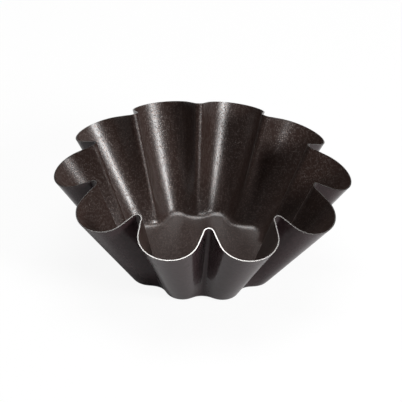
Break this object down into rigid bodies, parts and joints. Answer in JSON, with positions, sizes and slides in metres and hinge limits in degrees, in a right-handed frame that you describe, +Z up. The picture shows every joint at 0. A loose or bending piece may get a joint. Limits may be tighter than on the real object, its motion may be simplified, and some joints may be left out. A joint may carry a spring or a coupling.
{
  "type": "brioche mould",
  "caption": "Round flared baking mould with deeply fluted sides, a flat fluted foot and a wavy plain-cut rim, for baking a brioche or a fluted cake.",
  "frame": {"origin": "on the table, under the middle of the foot", "axes": "+Z up along the mould's axis, and +X through the tip of a flute"},
  "size_m": [0.22, 0.2118, 0.0845],
  "materials": {
    "steel": "satin",
    "lining": "satin",
    "outer_coat": "satin"
  },
  "bodies": {
    "root": {"steel_shell": "steel", "nonstick_lining": "lining", "outer_coat": "outer_coat"}
  },
  "joints": []
}
